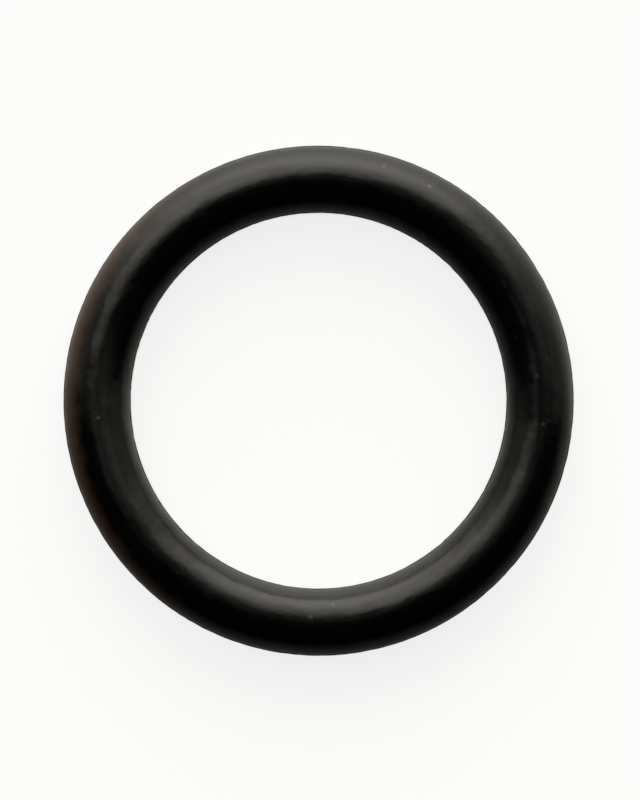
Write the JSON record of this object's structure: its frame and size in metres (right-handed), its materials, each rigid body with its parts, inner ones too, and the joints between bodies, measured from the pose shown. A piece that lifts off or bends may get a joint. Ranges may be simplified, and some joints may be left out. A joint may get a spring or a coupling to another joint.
{
  "type": "rubber o-ring",
  "caption": "Black rubber sealing ring of round section, moulded in one piece, with a fine trimmed mould line round its inner and outer edges.",
  "frame": {"origin": "on the ring's axis, in the plane of the surface that the ring lies on", "axes": "+Z along the ring's axis, upwards from that surface. X and Y lie across the ring, which is the same at every turn about Z"},
  "size_m": [0.023, 0.023, 0.003],
  "materials": {
    "black_rubber": "smooth moulded rubber, satin"
  },
  "bodies": {
    "root": {"o_ring": "black_rubber"}
  },
  "joints": []
}
